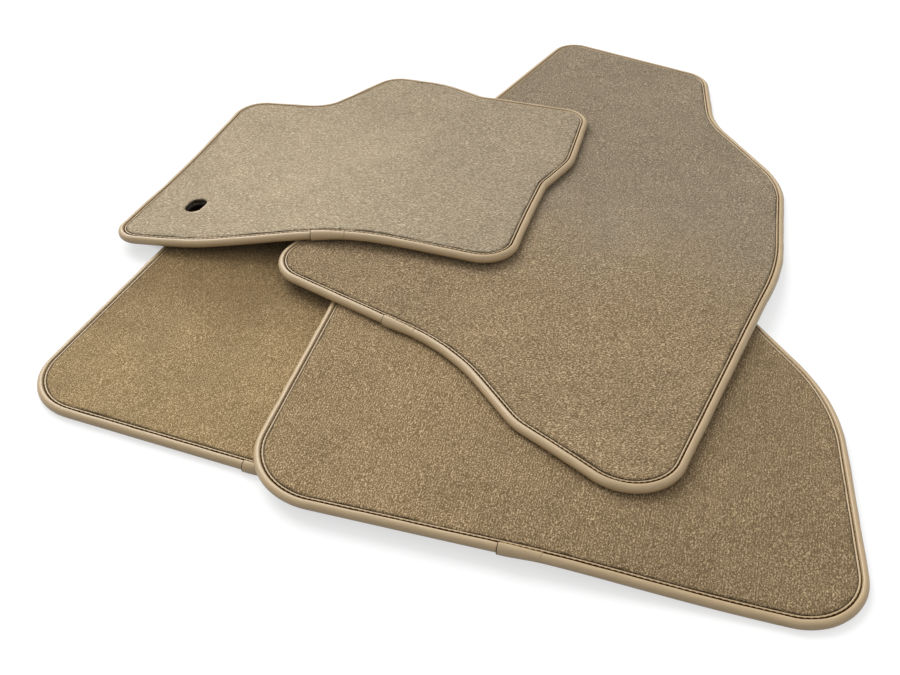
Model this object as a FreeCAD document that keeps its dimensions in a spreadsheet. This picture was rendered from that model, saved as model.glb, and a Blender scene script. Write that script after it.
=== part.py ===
# Four-piece set of velour car floor mats, stacked as they are shown in a shop.
# Units are millimetres, +Z is up, the set stands on z = 0 and is centred on x = y = 0.
# Every mat's outline is a closed belt of arcs joined by their common tangent lines.
import FreeCAD
import Part
import Sketcher

import math
import os

DOC = FreeCAD.newDocument("floor_mat_set")

# The mats from the lowest to the highest. Each arc is (centre x, centre y, radius),
# counter-clockwise round the mat, and a negative radius bulges inwards.
# lap is the place on the outline where the binding tape's ends overlap,
# as (x, y, direction of the outward normal in degrees).
MATS = {
    "rear_left": {
        "arcs": [
            (-334, -208, 61),
            (67, -378, 46),
            (196, -76, 36),
            (-220, -20, 97),
        ],
        "lap": (-170.58, -336.07, 249.0),
    },
    "rear_right": {
        "arcs": [
            (-100, -318, 72),
            (281, -443, 58),
            (164, -280, 197),
            (212, -165, 102),
            (-49, 31, 33),
        ],
        "lap": (50.65, -436.63, 253.84),
    },
    "passenger": {
        "arcs": [
            (-137, -51, 43),
            (-172, -354, -226),
            (115, -256, 73),
            (158, -323, 54),
            (-51, 100, 433),
            (271, 119, 124),
            (460, 293, -115),
            (313, 380, 40),
            (180, 467, 34),
        ],
        "lap": (-55.42, -159.82, 235.29),
    },
    "driver": {
        "arcs": [
            (-340, 22, 27),
            (-249, 182, 202),
            (-165, -354, -330),
            (36, -31, 40),
            (148, 80, -37),
            (92, 182, 63),
            (144, 261, 33),
            (58, 348, -25),
            (-85, 245, 148),
            (-68, 358, 37),
            (-175, 364, -43),
            (-240, 288, 41),
        ],
        "lap": (-134.22, -25.44, 264.65),
    },
}

# Every sketch is drawn from this corner of the layout, so that its numbers stay positive.
CORNER_X = 500.0
CORNER_Y = 600.0

# One mat's section, measured inwards from its outer edge and up from its underside.
SECTION = {
    "level_step": 10.7,  # from one mat's underside to the next mat's
    "outer_edge": 0.0,
    "bead_height": 10.0,
    "bead_fillet": 4.6,
    "bead_inner_fillet": 1.3,
    "bead_inset": 6.4,  # the bead's inner side, where the seam groove starts
    "lip_inset": 8.8,  # the binding tape's inner edge
    "lip_top": 8.6,
    "lip_bottom": 1.2,
    "mouth_depth": 2.7,  # the far wall of the binding's mouth
    "carpet_inset": 2.8,  # how far the carpet's edge runs into that mouth
    "mouth_bottom": 1.8,
    "mouth_top": 7.4,
    "field_inset": 9.2,  # where the carpet reaches its full thickness
    "backing_top": 2.9,
    "backing_edge_bottom": 1.9,
    "cloth_bottom": 2.95,
    "cloth_top": 4.0,
    "pile_bottom": 4.05,
    "pile_edge_top": 7.3,
    "pile_top": 9.3,
    "pile_fillet": 1.4,
    "seam_outer_inset": 6.8,
    "seam_inner_inset": 7.6,
    "seam_bottom": 8.65,
    "seam_top": 9.15,
    "lap_length": 26.0,
    "lap_gap": 26.2,
    "lap_step": 0.3,  # how far the overlapped tape stands proud of the bead
    "lap_mouth_inset": 2.2,
    "lap_lip_inset": 8.5,
    "cut_margin": 2.0,
    "hole_x": -288.0,
    "hole_y": 65.0,
    "hole_radius": 11.0,
    "hole_half_reach": 5.0,  # from the slot's middle to either end's centre
    "hole_angle": 72.0,
}

SHEET = DOC.addObject("Spreadsheet::Sheet", "Dimensions")
VALUES = {}
PROBLEMS = []


def cell(name, value):
    """Writes one driving dimension into the sheet as plain text, under a word alias."""
    row = len(VALUES) + 1
    SHEET.set(f"A{row}", name)
    SHEET.set(f"B{row}", repr(round(float(value), 4)))
    SHEET.setAlias(f"B{row}", name)
    VALUES[name] = round(float(value), 4)


def fill_sheet():
    for name, value in SECTION.items():
        if name == "hole_x":
            value += CORNER_X
        if name == "hole_y":
            value += CORNER_Y
        cell(name, value)
    cell("layout_x", -CORNER_X)
    cell("layout_y", -CORNER_Y)
    for level, (mat, facts) in enumerate(MATS.items()):
        cell(f"{mat}_level", level * SECTION["level_step"])
        for k, (x, y, r) in enumerate(facts["arcs"]):
            cell(f"{mat}_arc{k}_x", x + CORNER_X)
            cell(f"{mat}_arc{k}_y", y + CORNER_Y)
            cell(f"{mat}_arc{k}_r", abs(r))
        x, y, angle = facts["lap"]
        cell(f"{mat}_lap_x", x + CORNER_X)
        cell(f"{mat}_lap_y", y + CORNER_Y)
        cell(f"{mat}_lap_angle", angle + 90.0)
    DOC.recompute()


def belt(mat, inset):
    """The arcs and tangent lines of a mat's outline moved inwards, as the sketch starts."""
    arcs = []
    for k, (_, _, r) in enumerate(MATS[mat]["arcs"]):
        centre = (VALUES[f"{mat}_arc{k}_x"], VALUES[f"{mat}_arc{k}_y"])
        arcs.append((centre[0], centre[1], r - inset))
    normals = []
    for k, (x, y, r) in enumerate(arcs):
        nx, ny, nr = arcs[(k + 1) % len(arcs)]
        run = math.hypot(nx - x, ny - y)
        heading = math.atan2(ny - y, nx - x)
        normals.append(heading - math.acos((r - nr) / run))
    return arcs, normals


def origin_plane(body):
    return next(f for f in body.Origin.OriginFeatures if f.Role == "XY_Plane")


def flat_sketch(body, name, height):
    """A sketch parallel to the body's own base plane, at a height from the sheet."""
    sketch = body.newObject("Sketcher::SketchObject", name)
    sketch.AttachmentSupport = (origin_plane(body), [""])
    sketch.MapMode = "FlatFace"
    if height is not None:
        sketch.setExpression("AttachmentOffset.Base.z", f"Dimensions.{height}")
    return sketch


def dimension(sketch, constraint, expression):
    index = sketch.addConstraint(constraint)
    sketch.setExpression(f"Constraints[{index}]", expression)


def outline_sketch(body, name, mat, inset, height):
    """A mat's outline moved inwards by an inset from the sheet."""
    sketch = flat_sketch(body, name, height)
    arcs, normals = belt(mat, VALUES[inset])
    count = len(arcs)
    for k, (x, y, r) in enumerate(arcs):
        turned = math.pi if r < 0 else 0.0
        ends = [normals[k - 1] + turned, normals[k] + turned]
        if r < 0:
            ends.reverse()
        circle = Part.Circle(FreeCAD.Vector(x, y, 0), FreeCAD.Vector(0, 0, 1), abs(r))
        sketch.addGeometry(Part.ArcOfCircle(circle, ends[0], ends[1]))
    for k, (x, y, r) in enumerate(arcs):
        nx, ny, nr = arcs[(k + 1) % count]
        out = FreeCAD.Vector(math.cos(normals[k]), math.sin(normals[k]), 0)
        start = FreeCAD.Vector(x, y, 0) + out * r
        end = FreeCAD.Vector(nx, ny, 0) + out * nr
        sketch.addGeometry(Part.LineSegment(start, end))
    joints = []
    for k in range(count):
        after = (k + 1) % count
        leaving = 2 if arcs[k][2] > 0 else 1
        entering = 1 if arcs[after][2] > 0 else 2
        joints.append(Sketcher.Constraint("Tangent", k, leaving, count + k, 1))
        joints.append(Sketcher.Constraint("Tangent", after, entering, count + k, 2))
    sketch.addConstraint(joints)
    for k, (x, y, r) in enumerate(arcs):
        arc = f"Dimensions.{mat}_arc{k}"
        sign = "-" if r > 0 else "+"
        across = Sketcher.Constraint("DistanceX", -1, 1, k, 3, x)
        along = Sketcher.Constraint("DistanceY", -1, 1, k, 3, y)
        radius = Sketcher.Constraint("Radius", k, abs(r))
        dimension(sketch, across, f"{arc}_x")
        dimension(sketch, along, f"{arc}_y")
        dimension(sketch, radius, f"{arc}_r {sign} Dimensions.{inset}")
    return sketch


def box_sketch(body, name, left, right, near, far, height):
    """A rectangle square to the sketch; each side is an expression of sheet values."""
    sketch = flat_sketch(body, name, height)
    sides = [value_of(side) for side in (left, right, near, far)]
    x0, x1, y0, y1 = sides
    corners = [(x0, y0), (x1, y0), (x1, y1), (x0, y1)]
    for k, (x, y) in enumerate(corners):
        nx, ny = corners[(k + 1) % 4]
        start = FreeCAD.Vector(x, y, 0)
        sketch.addGeometry(Part.LineSegment(start, FreeCAD.Vector(nx, ny, 0)))
    for k in range(4):
        sketch.addConstraint(Sketcher.Constraint("Coincident", k, 2, (k + 1) % 4, 1))
        level = "Horizontal" if k % 2 == 0 else "Vertical"
        sketch.addConstraint(Sketcher.Constraint(level, k))
    dimension(sketch, Sketcher.Constraint("DistanceX", -1, 1, 0, 1, x0), left)
    dimension(sketch, Sketcher.Constraint("DistanceX", -1, 1, 1, 1, x1), right)
    dimension(sketch, Sketcher.Constraint("DistanceY", -1, 1, 0, 1, y0), near)
    dimension(sketch, Sketcher.Constraint("DistanceY", -1, 1, 2, 1, y1), far)
    return sketch


def value_of(expression):
    """The number a sum of sheet values comes to, for a sketch's first drawing."""
    total = 0.0
    sign = 1.0
    for word in expression.split():
        if word in "+-":
            sign = -1.0 if word == "-" else 1.0
        elif word.startswith("Dimensions."):
            name, _, divisor = word[len("Dimensions.") :].partition("/")
            total += sign * VALUES[name] / float(divisor or 1.0)
    return total


def slot_sketch(body, name, height):
    """The fixing hole: two half circles joined by straight sides, on the slot's own axis."""
    sketch = flat_sketch(body, name, height)
    sketch.setExpression("AttachmentOffset.Base.x", "Dimensions.hole_x")
    sketch.setExpression("AttachmentOffset.Base.y", "Dimensions.hole_y")
    sketch.setExpression("AttachmentOffset.Rotation.Angle", "Dimensions.hole_angle")
    reach = VALUES["hole_half_reach"]
    radius = VALUES["hole_radius"]
    up = FreeCAD.Vector(0, 0, 1)
    for x, start in ((reach, -math.pi / 2), (-reach, math.pi / 2)):
        circle = Part.Circle(FreeCAD.Vector(x, 0, 0), up, radius)
        sketch.addGeometry(Part.ArcOfCircle(circle, start, start + math.pi))
    for y, x in ((radius, reach), (-radius, -reach)):
        start = FreeCAD.Vector(x, y, 0)
        sketch.addGeometry(Part.LineSegment(start, FreeCAD.Vector(-x, y, 0)))
    for arc, end, line, tip in ((0, 2, 2, 1), (1, 1, 2, 2), (1, 2, 3, 1), (0, 1, 3, 2)):
        sketch.addConstraint(Sketcher.Constraint("Tangent", arc, end, line, tip))
    sketch.addConstraint(Sketcher.Constraint("PointOnObject", 0, 3, -1))
    sketch.addConstraint(Sketcher.Constraint("PointOnObject", 1, 3, -1))
    right = Sketcher.Constraint("DistanceX", -1, 1, 0, 3, reach)
    left = Sketcher.Constraint("DistanceX", 1, 3, -1, 1, reach)
    dimension(sketch, right, "Dimensions.hole_half_reach")
    dimension(sketch, left, "Dimensions.hole_half_reach")
    dimension(sketch, Sketcher.Constraint("Radius", 0, radius), "Dimensions.hole_radius")
    return sketch


def new_body(mat, piece):
    body = DOC.addObject("PartDesign::Body", f"{mat}_{piece}")
    body.Label = f"{mat}_{piece}"
    for axis in "xy":
        body.setExpression(f"Placement.Base.{axis}", f"Dimensions.layout_{axis}")
    body.setExpression("Placement.Base.z", f"Dimensions.{mat}_level")
    return body


def pad(body, sketch, length):
    """Raises a sketch upwards by an expression and checks that material is added."""
    before = body.Shape.Volume if body.Tip else 0.0
    feature = body.newObject("PartDesign::Pad", f"{sketch.Name}_pad")
    feature.Profile = sketch
    feature.Length = value_of(length)
    feature.setExpression("Length", length)
    sketch.Visibility = False
    DOC.recompute()
    if not body.Shape.Volume > before:
        PROBLEMS.append(f"{feature.Name} adds nothing")
    return feature


def pocket(body, sketch, depth):
    """Cuts downwards from a sketch and checks that material is taken away."""
    before = body.Shape.Volume
    feature = body.newObject("PartDesign::Pocket", f"{sketch.Name}_cut")
    feature.Profile = sketch
    feature.Length = value_of(depth)
    feature.setExpression("Length", depth)
    sketch.Visibility = False
    DOC.recompute()
    if not body.Shape.Volume < before:
        PROBLEMS.append(f"{feature.Name} takes nothing away")
    return feature


def level_edges(shape, heights, keep=lambda edge: True):
    """The names of the edges that lie flat at one of the heights."""
    names = []
    for k, edge in enumerate(shape.Edges):
        box = edge.BoundBox
        flat = box.ZLength < 1e-6
        if flat and any(abs(box.ZMin - h) < 1e-4 for h in heights) and keep(edge):
            names.append(f"Edge{k + 1}")
    return names


def fillet(body, feature, edges, radius):
    before = body.Shape.Volume
    rounded = body.newObject("PartDesign::Fillet", f"{feature.Name}_round")
    rounded.Base = (feature, edges)
    rounded.Radius = VALUES[radius]
    rounded.setExpression("Radius", f"Dimensions.{radius}")
    DOC.recompute()
    if not body.Shape.Volume < before:
        PROBLEMS.append(f"{rounded.Name} rounds nothing")
    return rounded


def span(high, low):
    return f"Dimensions.{high} - Dimensions.{low}"


def inner_side(mat):
    """Picks the bead's inner edges: those that lie on the outline moved in to the seam."""
    arcs, normals = belt(mat, VALUES["bead_inset"])

    def on_seam(edge):
        point = edge.valueAt((edge.FirstParameter + edge.LastParameter) / 2)
        x = point.x
        y = point.y
        for k, (cx, cy, r) in enumerate(arcs):
            if abs(math.hypot(x - cx, y - cy) - abs(r)) < 0.01:
                return True
            nx, ny = math.cos(normals[k]), math.sin(normals[k])
            if abs((x - cx) * nx + (y - cy) * ny - r) < 0.01:
                return True
        return False

    return on_seam


def add_backing(mat):
    """Anti-slip sheet: full thickness in the field, thinned where the binding grips it."""
    body = new_body(mat, "backing")
    field = outline_sketch(body, f"{mat}_backing_field", mat, "field_inset", None)
    pad(body, field, "Dimensions.backing_top")
    edge = outline_sketch(
        body, f"{mat}_backing_edge", mat, "carpet_inset", "backing_edge_bottom"
    )
    pad(body, edge, span("backing_top", "backing_edge_bottom"))
    return body


def add_base_cloth(mat):
    """The woven cloth that the pile is tufted into, gripped by the binding all round."""
    body = new_body(mat, "base_cloth")
    sketch = outline_sketch(body, f"{mat}_cloth", mat, "carpet_inset", "cloth_bottom")
    pad(body, sketch, span("cloth_top", "cloth_bottom"))
    return body


def add_pile(mat):
    """The velour pile: standing in the field, pressed flat inside the binding."""
    body = new_body(mat, "pile")
    edge = outline_sketch(body, f"{mat}_pile_edge", mat, "carpet_inset", "pile_bottom")
    pad(body, edge, span("pile_edge_top", "pile_bottom"))
    field = outline_sketch(body, f"{mat}_pile_field", mat, "field_inset", "pile_bottom")
    raised = pad(body, field, span("pile_top", "pile_bottom"))
    crown = level_edges(raised.Shape, [VALUES["pile_top"]])
    fillet(body, raised, crown, "pile_fillet")
    return body


def add_binding(mat):
    """Leatherette tape turned round the edge: a rounded bead, a seam lip, a mouth inside."""
    body = new_body(mat, "binding")
    outer = outline_sketch(body, f"{mat}_binding_outer", mat, "outer_edge", None)
    solid = pad(body, outer, "Dimensions.bead_height")
    rim = level_edges(solid.Shape, [0.0, VALUES["bead_height"]])
    fillet(body, solid, rim, "bead_fillet")
    seam = outline_sketch(body, f"{mat}_binding_seam", mat, "bead_inset", "bead_height")
    groove = pocket(body, seam, span("bead_height", "lip_top"))
    crest = level_edges(groove.Shape, [VALUES["bead_height"]], inner_side(mat))
    fillet(body, groove, crest, "bead_inner_fillet")
    under = outline_sketch(body, f"{mat}_binding_under", mat, "bead_inset", "lip_bottom")
    pocket(body, under, "Dimensions.lip_bottom + Dimensions.cut_margin")
    mouth = outline_sketch(body, f"{mat}_binding_mouth", mat, "mouth_depth", "mouth_top")
    pocket(body, mouth, span("mouth_top", "mouth_bottom"))
    middle = outline_sketch(body, f"{mat}_binding_middle", mat, "lip_inset", "lip_top")
    pocket(body, middle, "Dimensions.lip_top + Dimensions.cut_margin")
    half = "Dimensions.lap_gap/2"
    gap = box_sketch(
        body,
        f"{mat}_binding_gap",
        f"- {half}",
        f"+ {half}",
        "- Dimensions.cut_margin",
        "Dimensions.lip_inset + Dimensions.cut_margin",
        "bead_height",
    )
    gap.setExpression("AttachmentOffset.Base.x", f"Dimensions.{mat}_lap_x")
    gap.setExpression("AttachmentOffset.Base.y", f"Dimensions.{mat}_lap_y")
    gap.setExpression("AttachmentOffset.Rotation.Angle", f"Dimensions.{mat}_lap_angle")
    pocket(body, gap, "Dimensions.bead_height + Dimensions.cut_margin")
    return body


def add_lap(mat):
    """The short length where one end of the tape lies over the other."""
    body = DOC.addObject("PartDesign::Body", f"{mat}_binding_lap")
    body.Label = f"{mat}_binding_lap"
    x = f"Dimensions.layout_x + Dimensions.{mat}_lap_x"
    y = f"Dimensions.layout_y + Dimensions.{mat}_lap_y"
    body.setExpression("Placement.Base.x", x)
    body.setExpression("Placement.Base.y", y)
    body.setExpression("Placement.Base.z", f"Dimensions.{mat}_level")
    body.setExpression("Placement.Rotation.Angle", f"Dimensions.{mat}_lap_angle")
    half = "Dimensions.lap_length/2"
    ends = (f"- {half}", f"+ {half}")
    wide = (f"- {half} - Dimensions.cut_margin", f"+ {half} + Dimensions.cut_margin")
    lip = "+ Dimensions.lap_lip_inset"
    past = "+ Dimensions.lap_lip_inset + Dimensions.cut_margin"
    proud = "Dimensions.bead_height + Dimensions.lap_step"
    outer = box_sketch(
        body, f"{mat}_lap_outer", *ends, "- Dimensions.lap_step", lip, None
    )
    solid = pad(body, outer, proud)

    def long_outer(edge):
        return abs(edge.CenterOfMass.y + VALUES["lap_step"]) < 1e-4

    top = VALUES["bead_height"] + VALUES["lap_step"]
    rim = level_edges(solid.Shape, [0.0, top], long_outer)
    fillet(body, solid, rim, "bead_fillet")
    seam = box_sketch(
        body, f"{mat}_lap_seam", *wide, "+ Dimensions.bead_inset", past, None
    )
    seam.setExpression("AttachmentOffset.Base.z", proud)
    pocket(body, seam, f"{proud} - Dimensions.lip_top")
    under = box_sketch(
        body, f"{mat}_lap_under", *wide, "+ Dimensions.bead_inset", past, "lip_bottom"
    )
    pocket(body, under, "Dimensions.lip_bottom + Dimensions.cut_margin")
    mouth = box_sketch(
        body, f"{mat}_lap_mouth", *wide, "+ Dimensions.lap_mouth_inset", past, "mouth_top"
    )
    pocket(body, mouth, span("mouth_top", "mouth_bottom"))
    return body


def add_stitching(mat):
    """The seam's thread, drawn as one closed line along the lip."""
    body = new_body(mat, "stitching")
    outer = outline_sketch(
        body, f"{mat}_stitch_outer", mat, "seam_outer_inset", "seam_bottom"
    )
    pad(body, outer, span("seam_top", "seam_bottom"))
    inner = outline_sketch(
        body, f"{mat}_stitch_inner", mat, "seam_inner_inset", "seam_top"
    )
    pocket(body, inner, span("seam_top", "seam_bottom"))
    return body


def cut_fixing_hole(body, mat):
    """The driver's mat is held by a pin through a slot cut in all three layers."""
    slot = slot_sketch(body, f"{body.Name}_slot", "bead_height")
    pocket(body, slot, "Dimensions.bead_height + Dimensions.cut_margin")


def build():
    fill_sheet()
    pieces = []
    for mat in MATS:
        layers = [add_backing(mat), add_base_cloth(mat), add_pile(mat)]
        if mat == "driver":
            for layer in layers:
                cut_fixing_hole(layer, mat)
        pieces += layers + [add_binding(mat), add_lap(mat), add_stitching(mat)]
    DOC.recompute()
    return pieces


def write(pieces):
    for item in DOC.Objects:
        if "Invalid" in item.State or "Error" in item.State:
            PROBLEMS.append(f"{item.Name} is {item.State}")
    for body in pieces:
        shape = body.Shape
        if shape.isNull() or not shape.isValid() or len(shape.Solids) != 1:
            PROBLEMS.append(f"{body.Label} is not one valid solid")
    if PROBLEMS:
        raise RuntimeError("; ".join(PROBLEMS))
    os.makedirs("parts", exist_ok=True)
    for body in pieces:
        body.Shape.exportStep(f"parts/{body.Label}.step")
        box = body.Shape.BoundBox
        print(
            f"{body.Label}: {body.Shape.Volume / 1000:.2f} cm3,"
            f" x {box.XMin:.1f}..{box.XMax:.1f}, y {box.YMin:.1f}..{box.YMax:.1f},"
            f" z {box.ZMin:.2f}..{box.ZMax:.2f}"
        )


write(build())
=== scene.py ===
import math

import bpy
import numpy as np
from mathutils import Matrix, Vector, geometry


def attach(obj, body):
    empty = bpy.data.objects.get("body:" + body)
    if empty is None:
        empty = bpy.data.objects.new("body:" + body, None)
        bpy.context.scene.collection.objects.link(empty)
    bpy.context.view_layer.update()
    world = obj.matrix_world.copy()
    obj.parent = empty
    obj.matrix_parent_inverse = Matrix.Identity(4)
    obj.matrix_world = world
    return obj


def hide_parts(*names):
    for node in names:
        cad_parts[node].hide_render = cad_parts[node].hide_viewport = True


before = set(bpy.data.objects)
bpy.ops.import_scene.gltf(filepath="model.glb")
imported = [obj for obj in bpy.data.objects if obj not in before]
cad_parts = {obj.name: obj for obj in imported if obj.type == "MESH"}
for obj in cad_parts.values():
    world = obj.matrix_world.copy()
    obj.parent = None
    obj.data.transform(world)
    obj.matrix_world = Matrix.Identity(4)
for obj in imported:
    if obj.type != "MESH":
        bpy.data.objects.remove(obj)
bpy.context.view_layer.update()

MM = 0.001
RANDOM = np.random.default_rng(41)

# Each mat's outline is a belt of arcs (centre x, centre y, radius), counter-clockwise, joined
# by their common tangents; a negative radius bulges inwards. "lap" is where on the outline the
# tape's cut end lies. "under" names the mats below. "curl" is a corner that keeps a curl: its
# place, reach and height. "ripple_seed" picks how the pile's face waves.
MATS = {
    "rear_left": {
        "arcs": [(-334, -208, 61), (67, -378, 46), (196, -76, 36), (-220, -20, 97)],
        "lap": (-182.7, -331.4),
        "ripple_seed": 21,
        "under": [],
        "curl": [],
    },
    "rear_right": {
        "arcs": [
            (-100, -318, 72),
            (281, -443, 58),
            (164, -280, 197),
            (212, -165, 102),
            (-49, 31, 33),
        ],
        "lap": (38.2, -433.0),
        "ripple_seed": 22,
        "under": ["rear_left"],
        "curl": [],
    },
    "passenger": {
        "arcs": [
            (-137, -51, 43),
            (-172, -354, -226),
            (115, -256, 73),
            (158, -323, 54),
            (-51, 100, 433),
            (271, 119, 124),
            (460, 293, -115),
            (313, 380, 40),
            (180, 467, 34),
        ],
        "lap": (-66.1, -152.4),
        "ripple_seed": 21,
        "under": ["rear_left", "rear_right"],
        "curl": [(-165.0, -60.0, 110.0, 21.2)],
    },
    "driver": {
        "arcs": [
            (-340, 22, 27),
            (-249, 182, 202),
            (-165, -354, -330),
            (36, -31, 40),
            (148, 80, -37),
            (92, 182, 63),
            (144, 261, 33),
            (58, 348, -25),
            (-85, 245, 148),
            (-68, 358, 37),
            (-175, 364, -43),
            (-240, 288, 41),
        ],
        "lap": (-147.2, -24.5),
        "ripple_seed": 18,
        "under": ["rear_left", "rear_right", "passenger"],
        "curl": [(-355.0, 20.0, 150.0, 10.9)],
    },
}

THICK = 10.0  # a mat at its bound edge
REST_GAP = 0.5  # air between one mat and the next where they touch
OUTLINE_STEP = 3.0
STRIP = 20.0  # the pile's edge strip, which follows the outline exactly
PILE_SPACING = 3.0  # points on the pile's face
LAYER_SPACING = 12.0  # points on the faces that lie against other layers
NAP_WAVES = [(110.0, 0.35), (38.0, 0.22), (13.0, 0.16), (8.5, 0.10)]  # (wavelength, height)
SLOT_STRIP = 9.0  # the strip round the fixing slot's wall, like STRIP round the outline

SLOT_PLACE = (-288.0, 65.0)
SLOT_RADIUS = 11.0
SLOT_REACH = 5.0
SLOT_TURN = math.radians(72.0)

STITCH_PITCH = 5.2
STITCH_LENGTH = 3.8
THREAD_RADIUS = 0.36
SEAM_INSET = 7.45  # the row of stitches, from the mat's outer edge
SEAM_HEIGHT = 8.62  # where a stitch's ends go into the tape
STITCH_RISE = 0.42
LAP_LENGTH = 38.0  # from the tape's cut end to where it has thinned out
LAP_PROUD = 1.4
LAP_MARK = 9000.0  # where the lap's own map starts, well past the tape's

# Sections as (inset from the mat's outer edge, height above its underside), upwards round the
# outer side. The tape: lower hem, bead, seam groove, upper hem, and the mouth that grips the mat.
BEAD_TURNS = np.radians(np.linspace(-80.0, 78.0, 22))
BEAD = [(5.0 - 5.0 * math.cos(a), 5.0 + 5.0 * math.sin(a)) for a in BEAD_TURNS]
TAPE = np.array(
    [(8.8, 1.5), (8.2, 1.15), (7.0, 1.1), (6.3, 0.7), (5.6, 0.15), (4.8, 0.02)]
    + BEAD
    + [
        (4.7, 9.98),
        (5.25, 9.85),
        (5.7, 9.45),
        (6.0, 8.85),
        (6.2, 8.15),
        (6.5, 7.7),
        (6.9, 7.65),
        (7.2, 8.0),
        (7.35, 8.6),
        (7.6, 9.05),
        (8.1, 9.25),
        (8.7, 9.2),
        (9.1, 8.85),
        (9.25, 8.3),
        (8.9, 7.7),
        (5.0, 7.45),
        (3.1, 7.4),
        (2.8, 7.1),
        (2.75, 4.6),
        (2.8, 2.1),
        (3.1, 1.85),
        (5.5, 1.8),
        (8.4, 1.8),
    ]
)
SEAM_PLACE = (6.9, 7.65)  # the bottom of the seam groove in that section
LAP_PART = slice(3, 39)  # the part of it that the lap's second turn covers
PILE_EDGE = np.array(
    [
        (STRIP, 4.1),
        (11.0, 4.1),
        (3.2, 4.1),
        (3.1, 5.6),
        (3.2, 7.1),
        (6.0, 7.25),
        (9.35, 7.4),
        (9.4, 8.2),
        (9.6, 8.9),
        (10.1, 9.45),
        (10.9, 9.8),
        (12.2, 10.0),
        (14.0, 10.1),
        (17.0, 10.1),
        (STRIP, 10.1),
    ]
)
CLOTH_EDGE = np.array([(STRIP, 3.0), (3.1, 3.0), (3.1, 4.0), (STRIP, 4.0)])
RUBBER_EDGE = np.array(
    [(STRIP, 0.05), (9.3, 0.05), (9.1, 0.4), (9.1, 1.95), (3.1, 1.95), (3.1, 2.9), (STRIP, 2.9)]
)
# The same for the fixing slot's cut wall, as (outset from the slot's edge, height).
PILE_WALL = np.array(
    [
        (SLOT_STRIP, 10.1),
        (4.0, 10.15),
        (1.4, 10.15),
        (-0.2, 10.0),
        (-0.9, 9.6),
        (-1.0, 8.8),
        (-0.5, 6.5),
        (0.0, 4.1),
        (SLOT_STRIP, 4.1),
    ]
)
CLOTH_WALL = np.array([(SLOT_STRIP, 4.0), (0.0, 4.0), (0.0, 3.0), (SLOT_STRIP, 3.0)])
RUBBER_WALL = np.array([(SLOT_STRIP, 2.9), (0.0, 2.9), (0.0, 0.05), (SLOT_STRIP, 0.05)])
WALLS = (RUBBER_WALL, CLOTH_WALL, PILE_WALL)


def outline(arcs, step=OUTLINE_STEP):
    """Points about step apart round the belt: centre + radius * n on an arc, straight between
    arcs. Returns (points, outward unit normals)."""
    arcs = np.array(arcs, float)
    centres, radii = arcs[:, :2], arcs[:, 2]
    count = len(arcs)
    turns = []
    for k in range(count):
        run = centres[(k + 1) % count] - centres[k]
        ratio = (radii[k] - radii[(k + 1) % count]) / np.hypot(*run)
        turns.append(math.atan2(run[1], run[0]) - math.acos(ratio))
    points, normals = [], []
    for k in range(count):
        sweep = (turns[k] - turns[k - 1] + math.pi) % (2 * math.pi) - math.pi
        pieces = max(4, int(abs(sweep * radii[k]) / step))
        angles = turns[k - 1] + sweep * np.arange(pieces) / pieces
        n = np.stack([np.cos(angles), np.sin(angles)], 1)
        points.append(centres[k] + radii[k] * n)
        normals.append(n)
        n = np.array([math.cos(turns[k]), math.sin(turns[k])])
        start = centres[k] + radii[k] * n
        end = centres[(k + 1) % count] + radii[(k + 1) % count] * n
        pieces = max(2, int(np.hypot(*(end - start)) / step))
        share = (np.arange(pieces) / pieces)[:, None]
        points.append(start + (end - start) * share)
        normals.append(np.repeat(n[None], pieces, 0))
    return np.concatenate(points), np.concatenate(normals)


def slot_outline():
    """The fixing slot's edge: two half circles joined by straight sides, turned on its axis.
    Returns (points, unit normals into the mat)."""
    angles = np.radians(np.arange(0.0, 360.0, 7.5) + 3.75)
    n = np.stack([np.cos(angles), np.sin(angles)], 1)
    p = n * SLOT_RADIUS + np.sign(n[:, :1]) * [SLOT_REACH, 0.0]
    c, s = math.cos(SLOT_TURN), math.sin(SLOT_TURN)
    spin = np.array([[c, s], [-s, c]])
    return p @ spin + SLOT_PLACE, n @ spin


def inside(points, loop, chunk=20000):
    """True for each point inside a closed loop, by counting the edges crossed to its right."""
    a, b = loop, np.roll(loop, -1, axis=0)
    found = np.zeros(len(points), bool)
    slope = (b[:, 0] - a[:, 0]) / np.where(b[:, 1] == a[:, 1], 1e-9, b[:, 1] - a[:, 1])
    for start in range(0, len(points), chunk):
        p = points[start : start + chunk]
        spans = (a[None, :, 1] > p[:, None, 1]) != (b[None, :, 1] > p[:, None, 1])
        x = a[None, :, 0] + slope[None] * (p[:, None, 1] - a[None, :, 1])
        found[start : start + chunk] = (spans & (p[:, None, 0] < x)).sum(1) % 2 == 1
    return found


def ease(share):
    share = np.clip(share, 0.0, 1.0)
    return share * share * (3.0 - 2.0 * share)


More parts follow.
